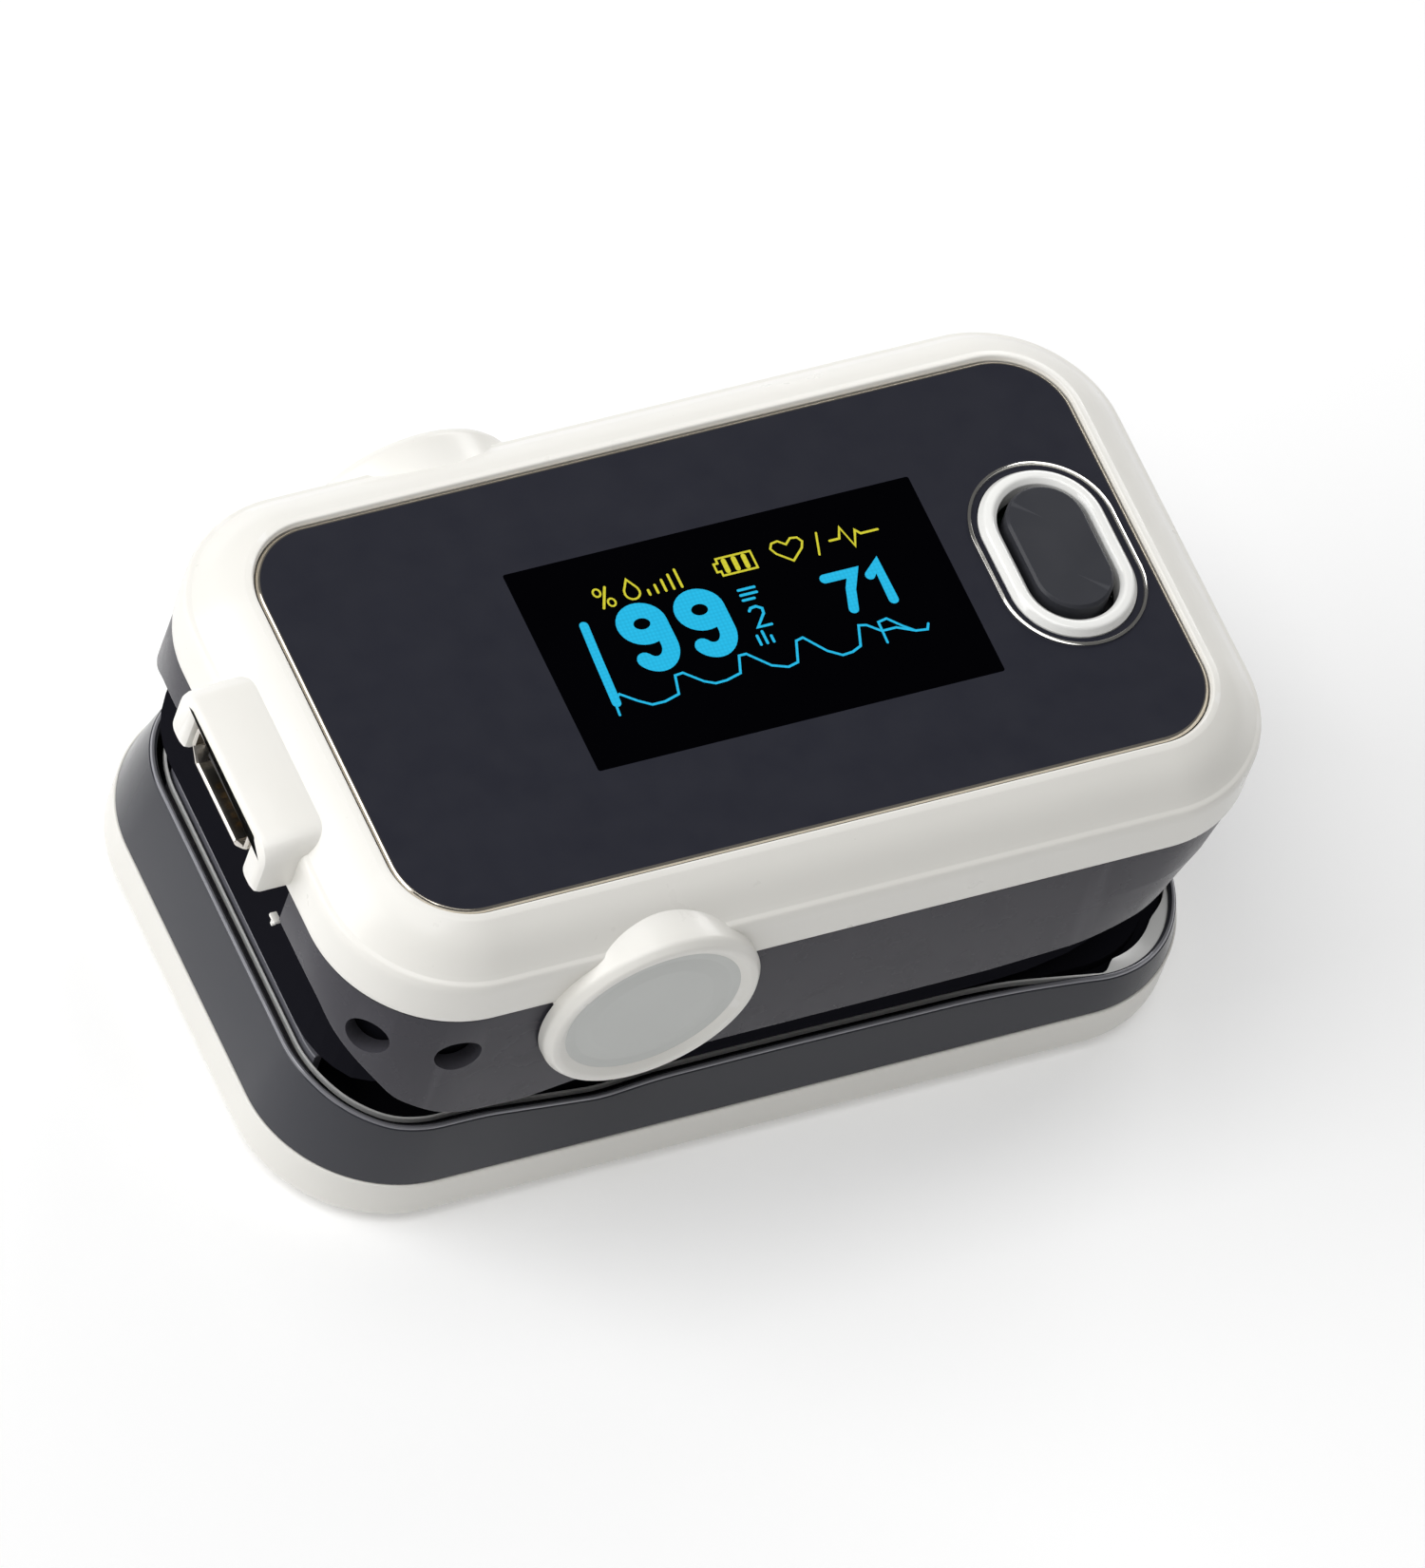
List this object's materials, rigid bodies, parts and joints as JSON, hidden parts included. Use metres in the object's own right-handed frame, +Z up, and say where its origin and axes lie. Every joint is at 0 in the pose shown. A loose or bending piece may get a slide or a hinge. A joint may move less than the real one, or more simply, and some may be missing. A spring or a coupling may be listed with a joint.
{
  "type": "fingertip pulse oximeter",
  "caption": "Fingertip pulse oximeter: two sprung jaws with finger pads, a display window, one push button, side hinge bosses and a rear charging socket.",
  "frame": {"origin": "centre of the flat underside of the bottom cover", "axes": "+X towards the finger mouth and button end, +Y across the body, +Z up out of the display window"},
  "size_m": [0.0606, 0.0362, 0.027],
  "materials": {
    "white_shell": "satin",
    "white_base": "satin",
    "dark_frame": "satin",
    "tray_black": "matte",
    "pad_silicone": "matte",
    "board_green": "satin",
    "sensor_chip": "gloss",
    "lens_clear": "gloss",
    "battery_wrap": "satin",
    "screw_steel": "satin",
    "led_epoxy": "gloss",
    "chip_black": "matte",
    "usb_metal": "satin",
    "spacer_white": "matte",
    "oled_glass": "gloss",
    "window_dark": "gloss",
    "bezel_white": "gloss",
    "insert_grey": "satin",
    "pin_steel": "polished",
    "spring_steel": "satin",
    "button_dark": "satin",
    "plunger_brown": "satin",
    "display_cyan": "matte",
    "display_yellow": "matte"
  },
  "bodies": {
    "lower_jaw": {"bottom_cover": "white_base", "lower_frame": "dark_frame", "lower_tray": "tray_black", "lower_finger_pad": "pad_silicone", "photodiode_board": "board_green", "photodiode": "sensor_chip", "photodiode_lens": "lens_clear", "battery_cell": "battery_wrap", "base_screw_1": "screw_steel", "base_screw_2": "screw_steel", "base_screw_3": "screw_steel", "base_screw_4": "screw_steel"},
    "upper_jaw": {"top_cover": "white_shell", "upper_frame": "dark_frame", "upper_tray": "tray_black", "upper_finger_pad": "pad_silicone", "emitter_board": "board_green", "emitter_leds": "led_epoxy", "emitter_lens": "lens_clear", "main_board": "board_green", "board_screw_1": "screw_steel", "board_screw_2": "screw_steel", "board_screw_3": "screw_steel", "microcontroller": "chip_black", "usb_socket": "usb_metal", "usb_tongue": "chip_black", "display_spacer": "spacer_white", "oled_module": "oled_glass", "display_window": "window_dark", "button_bezel": "bezel_white", "tact_switch": "chip_black", "side_insert_right": "insert_grey", "side_insert_left": "insert_grey", "hinge_pin_right": "pin_steel", "hinge_pin_left": "pin_steel", "hinge_spring_right": "spring_steel", "hinge_spring_left": "spring_steel"},
    "button": {"power_button": "button_dark", "switch_plunger": "plunger_brown"}
  },
  "joints": [
    {"name": "jaw_hinge", "type": "hinge", "parent": "lower_jaw", "child": "upper_jaw", "pos_m": [-0.0111, 0, 0.0186], "axis": [0, -1, 0], "range_deg": [0, 15], "stiffness_Nm_per_rad": 0.08, "springref_deg": -17.19},
    {"name": "button_press", "type": "slide", "parent": "upper_jaw", "child": "button", "axis": [0, 0, -1], "range_m": [0, 0.0004], "stiffness_N_per_m": 500, "springref_m": -0.0024}
  ]
}
